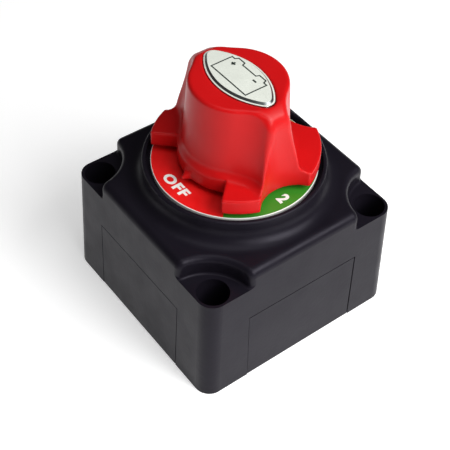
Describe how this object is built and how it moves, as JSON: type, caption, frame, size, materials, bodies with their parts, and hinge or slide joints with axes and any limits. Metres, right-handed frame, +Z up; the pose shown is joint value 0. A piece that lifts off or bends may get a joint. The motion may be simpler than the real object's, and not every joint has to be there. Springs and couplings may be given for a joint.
{
  "type": "rotary battery switch",
  "caption": "Rotary battery selector switch for a boat: square black housing, red finned knob over a marked dial, sliding side panels and terminal studs in an open base.",
  "frame": {"origin": "centre of the mounting face, at the foot of the housing", "axes": "+Z up the spindle from the mounting face to the knob; -Y towards the OFF mark, +X towards the mark 2"},
  "size_m": [0.069, 0.069, 0.0782],
  "materials": {
    "black_plastic": "satin, fine moulded grain",
    "red_plastic": "semi-gloss moulded",
    "dial_print": "printed disc, green with a red quarter and white marks",
    "bright_badge": "polished",
    "insulator": "matte",
    "rotor_plastic": "matte",
    "copper": "copper, bright",
    "tinned_stud": "tinned",
    "zinc_nut": "plated",
    "screw_steel": "plated",
    "spring_steel": "bright wire",
    "seal_rubber": "matte"
  },
  "bodies": {
    "base": {"housing": "black_plastic", "back_plate": "insulator", "back_plate_screws": "screw_steel", "dial_plate": "dial_print", "contact_plate_1": "copper", "contact_plate_2": "copper", "contact_plate_common": "copper", "terminal_stud_1": "tinned_stud", "terminal_stud_2": "tinned_stud", "terminal_stud_common": "tinned_stud", "jam_nuts": "zinc_nut", "flat_washers": "zinc_nut", "lock_washers": "zinc_nut", "terminal_nuts": "zinc_nut"},
    "selector": {"knob": "red_plastic", "knob_badge": "bright_badge", "knob_screw": "screw_steel", "rotor": "rotor_plastic", "moving_contact": "copper", "contact_spring": "spring_steel", "detent_balls": "screw_steel", "detent_springs": "spring_steel", "shaft_seal": "seal_rubber"},
    "panel_front": {"side_panel_front": "black_plastic"},
    "panel_right": {"side_panel_right": "black_plastic"},
    "panel_back": {"side_panel_back": "black_plastic"},
    "panel_left": {"side_panel_left": "black_plastic"}
  },
  "joints": [
    {"name": "knob_turn", "type": "hinge", "parent": "base", "child": "selector", "pos_m": [0, 0, 0.0512], "axis": [0, 0, 1], "continuous": true},
    {"name": "panel_front_slide", "type": "slide", "parent": "base", "child": "panel_front", "axis": [0, 0, -1], "range_m": [0, 0.027]},
    {"name": "panel_right_slide", "type": "slide", "parent": "base", "child": "panel_right", "axis": [0, 0, -1], "range_m": [0, 0.027]},
    {"name": "panel_back_slide", "type": "slide", "parent": "base", "child": "panel_back", "axis": [0, 0, -1], "range_m": [0, 0.027]},
    {"name": "panel_left_slide", "type": "slide", "parent": "base", "child": "panel_left", "axis": [0, 0, -1], "range_m": [0, 0.027]}
  ]
}
